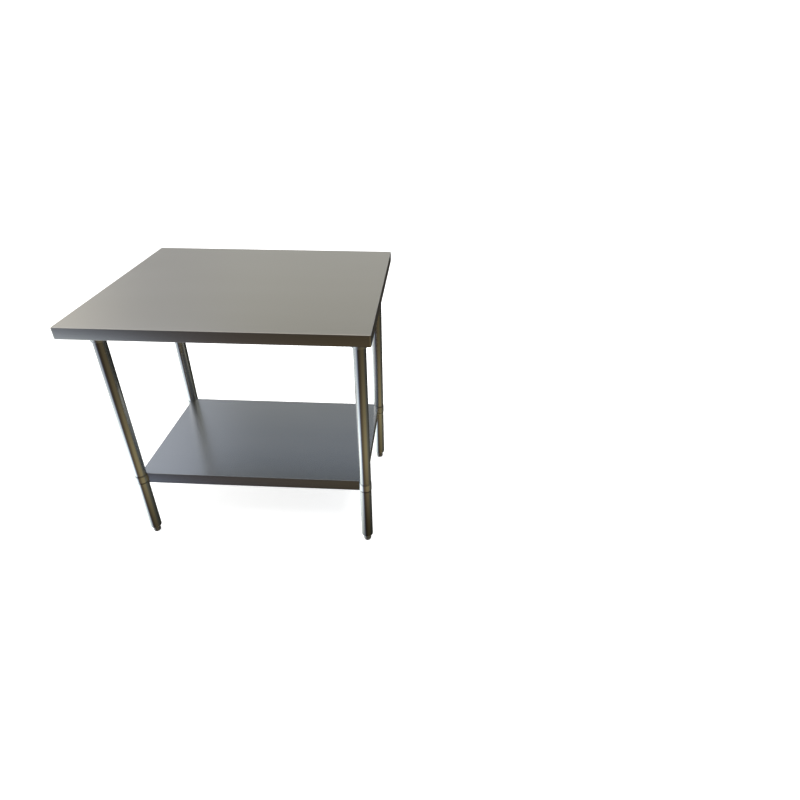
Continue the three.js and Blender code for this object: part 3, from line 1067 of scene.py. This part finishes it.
bm = bmesh.new()
bmesh.ops.create_circle(bm, cap_ends=True, segments=96, radius=FLOOR_RADIUS)
floor = bpy.data.objects.new("floor", mesh_from(bm))
floor.data.materials.append(stage_material("pale floor", (0.86, 0.86, 0.86), 0.85))
bm = bmesh.new()
bmesh.ops.create_uvsphere(bm, u_segments=64, v_segments=32, radius=FLOOR_RADIUS * 1.01)
backdrop = bpy.data.objects.new("backdrop", mesh_from(bm))
backdrop.data.materials.append(stage_material("pale backdrop", (0.93, 0.93, 0.93), 1.0))
for stage_piece in (floor, backdrop):
    bpy.context.scene.collection.objects.link(stage_piece)
    stage_piece.visible_glossy = False
for way in ("diffuse", "transmission", "shadow"):
    setattr(backdrop, f"visible_{way}", False)

# %% Surroundings
world = bpy.data.worlds.new("studio")
bpy.context.scene.world = world
world.use_nodes = True
sky = world.node_tree
background = sky.nodes["Background"]


def sky_ramp(value, low, high, stops):
    """A colour for each value between low and high. A stop is a value and the colour there."""
    ranged = add_node(sky, "ShaderNodeMapRange")
    ranged.inputs["From Min"].default_value = low
    ranged.inputs["From Max"].default_value = high
    sky.links.new(value, ranged.inputs["Value"])
    ramp = add_node(sky, "ShaderNodeValToRGB")
    while len(ramp.color_ramp.elements) < len(stops):
        ramp.color_ramp.elements.new(0.5)
    for element, (place, colour) in zip(ramp.color_ramp.elements, stops):
        element.position = (place - low) / (high - low)
        element.color = (*colour, 1)
    sky.links.new(ranged.outputs["Result"], ramp.inputs["Fac"])
    return ramp.outputs["Color"]


def sky_mix(factor, first, second):
    mix = add_node(sky, "ShaderNodeMix", data_type="RGBA")
    sky.links.new(factor, mix.inputs[0])
    sky.links.new(first, mix.inputs[6])
    sky.links.new(second, mix.inputs[7])
    return mix.outputs[2]


def sky_blend(blend_type, first, second):
    """The sum or the product of two colours."""
    blend = add_node(sky, "ShaderNodeMix", data_type="RGBA", blend_type=blend_type)
    blend.inputs[0].default_value = 1.0
    sky.links.new(first, blend.inputs[6])
    sky.links.new(second, blend.inputs[7])
    return blend.outputs[2]


def eased_step(value, low, high):
    """0 below low, 1 above high, with a soft step between."""
    ranged = add_node(sky, "ShaderNodeMapRange", interpolation_type="SMOOTHSTEP")
    ranged.inputs["From Min"].default_value = low
    ranged.inputs["From Max"].default_value = high
    sky.links.new(value, ranged.inputs["Value"])
    return ranged.outputs["Result"]


direction = add_node(sky, "ShaderNodeTexCoord").outputs["Generated"]
split = add_node(sky, "ShaderNodeSeparateXYZ")
sky.links.new(direction, split.inputs["Vector"])
height, across, away = split.outputs["Z"], split.outputs["X"], split.outputs["Y"]

# %% The walls, by height, from eye level up
plain_wall = [
    (0.0, (0.30, 0.27, 0.22)),
    (0.16, (0.62, 0.66, 0.70)),
    (0.29, (0.65, 0.70, 0.79)),
    (0.36, (0.80, 0.76, 0.62)),
    (0.43, (1.10, 0.98, 0.67)),
    (0.46, (0.03, 0.055, 0.09)),
    (0.58, (0.13, 0.16, 0.20)),
    (0.68, (0.36, 0.41, 0.49)),
    (0.80, (0.40, 0.40, 0.40)),
    (1.0, (1.15, 1.10, 1.00)),
]
window_wall = [
    (0.0, (0.60, 0.62, 0.62)),
    (0.18, (0.58, 0.60, 0.63)),
    (0.28, (0.56, 0.575, 0.61)),
    (0.36, (0.30, 0.25, 0.15)),
    (0.43, (0.22, 0.16, 0.07)),
    (0.47, (1.10, 1.18, 1.32)),
    (0.66, (0.28, 0.31, 0.37)),
    (0.80, (0.60, 0.62, 0.64)),
    (1.0, (1.15, 1.10, 1.00)),
]
toward_window = eased_step(maths(sky, "MULTIPLY", across, -1.0), 0.28, 0.44)
plain, window = sky_ramp(height, 0, 1, plain_wall), sky_ramp(height, 0, 1, window_wall)
side_walls = sky_mix(toward_window, plain, window)
glow_stops = [(-1.0, (1.2, 1.14, 1.02)), (-0.75, (0.9, 0.85, 0.75)), (-0.47, (0, 0, 0))]
window_glow = sky_ramp(across, -1, 0, glow_stops)
walls = sky_blend("ADD", side_walls, window_glow)

# %% The floor and furniture below eye level, by compass direction
BRIGHT_FLOOR = (0.95, 1.06, 1.16)
compass = maths(sky, "DIVIDE", maths(sky, "ARCTAN2", away, across), math.radians(1))
around = [
    (-180, BRIGHT_FLOOR),
    (-150, (0.66, 0.75, 0.88)),
    (-135, (0.42, 0.49, 0.64)),
    (-128, (0.13, 0.155, 0.23)),
    (-119, (0.065, 0.056, 0.060)),
    (-110, (0.068, 0.057, 0.050)),
    (-97, (0.066, 0.052, 0.034)),
    (-82, (0.10, 0.080, 0.050)),
    (-64, (0.15, 0.125, 0.075)),
    (-30, (0.16, 0.135, 0.08)),
    (0, (0.08, 0.08, 0.07)),
    (50, (0.02, 0.02, 0.02)),
    (90, (0.05, 0.05, 0.05)),
    (114, (0.12, 0.13, 0.14)),
    (136, BRIGHT_FLOOR),
    (180, BRIGHT_FLOOR),
]
toward_floor = [
    (-1.0, (0.2, 0.2, 0.2)),
    (-0.80, (0.35, 0.33, 0.30)),
    (-0.62, (2.3, 2.25, 2.0)),
    (-0.4, (1, 0.97, 0.92)),
    (-0.25, (0.7, 0.66, 0.62)),
]
all_round, downward = sky_ramp(compass, -180, 180, around), sky_ramp(height, -1, 0, toward_floor)
low_room = sky_blend("MULTIPLY", all_round, downward)

# %% Where the low part ends: higher in front, where taller things stand
FRONT_RISE = 0.5
in_front = eased_step(maths(sky, "MULTIPLY", away, -1.0), 0.0, 0.4)
above_edge = maths(sky, "SUBTRACT", height, maths(sky, "MULTIPLY", in_front, FRONT_RISE))
room = sky_mix(eased_step(above_edge, -0.12, 0.1), low_room, walls)
sky.links.new(room, background.inputs["Color"])


# %% Lamps
def softbox(name, place, aim, side, watts):
    data = bpy.data.lights.new(name, "AREA")
    data.shape = "SQUARE"
    data.size = side
    data.energy = watts
    lamp = bpy.data.objects.new(name, data)
    bpy.context.scene.collection.objects.link(lamp)
    lamp.location = place
    lamp.rotation_euler = (Vector(aim) - Vector(place)).to_track_quat("-Z", "Y").to_euler()
    lamp.visible_camera = False
    lamp.visible_glossy = False


middle = (cad_low + cad_high) / 2
softbox("overhead softbox", (0, -0.2, 3.6), middle, side=4.4, watts=150)

# %% [markdown]
# The camera stands in front of the table's right half, a little above head height, and looks down on the
# worktop. Its lens is wide, which is why the legs seem to lean together.

# %% Camera
EYE = Vector((0.6213, -1.7903, 1.5707))
LOOK_DOWN = 0.555
LOOK_LEFT = 0.0548
TILT = 0.00094
camera_data = bpy.data.cameras.new("camera")
camera_data.sensor_width = 36
camera_data.lens = 25.436
camera_data.shift_x = -0.003
camera = bpy.data.objects.new("camera", camera_data)
bpy.context.scene.collection.objects.link(camera)
turn = Matrix.Rotation(LOOK_LEFT, 4, "Z") @ Matrix.Rotation(math.pi / 2 - LOOK_DOWN, 4, "X")
camera.matrix_world = Matrix.Translation(EYE) @ turn @ Matrix.Rotation(TILT, 4, "Z")
bpy.context.scene.camera = camera
bpy.context.scene.view_settings.view_transform = "Standard"
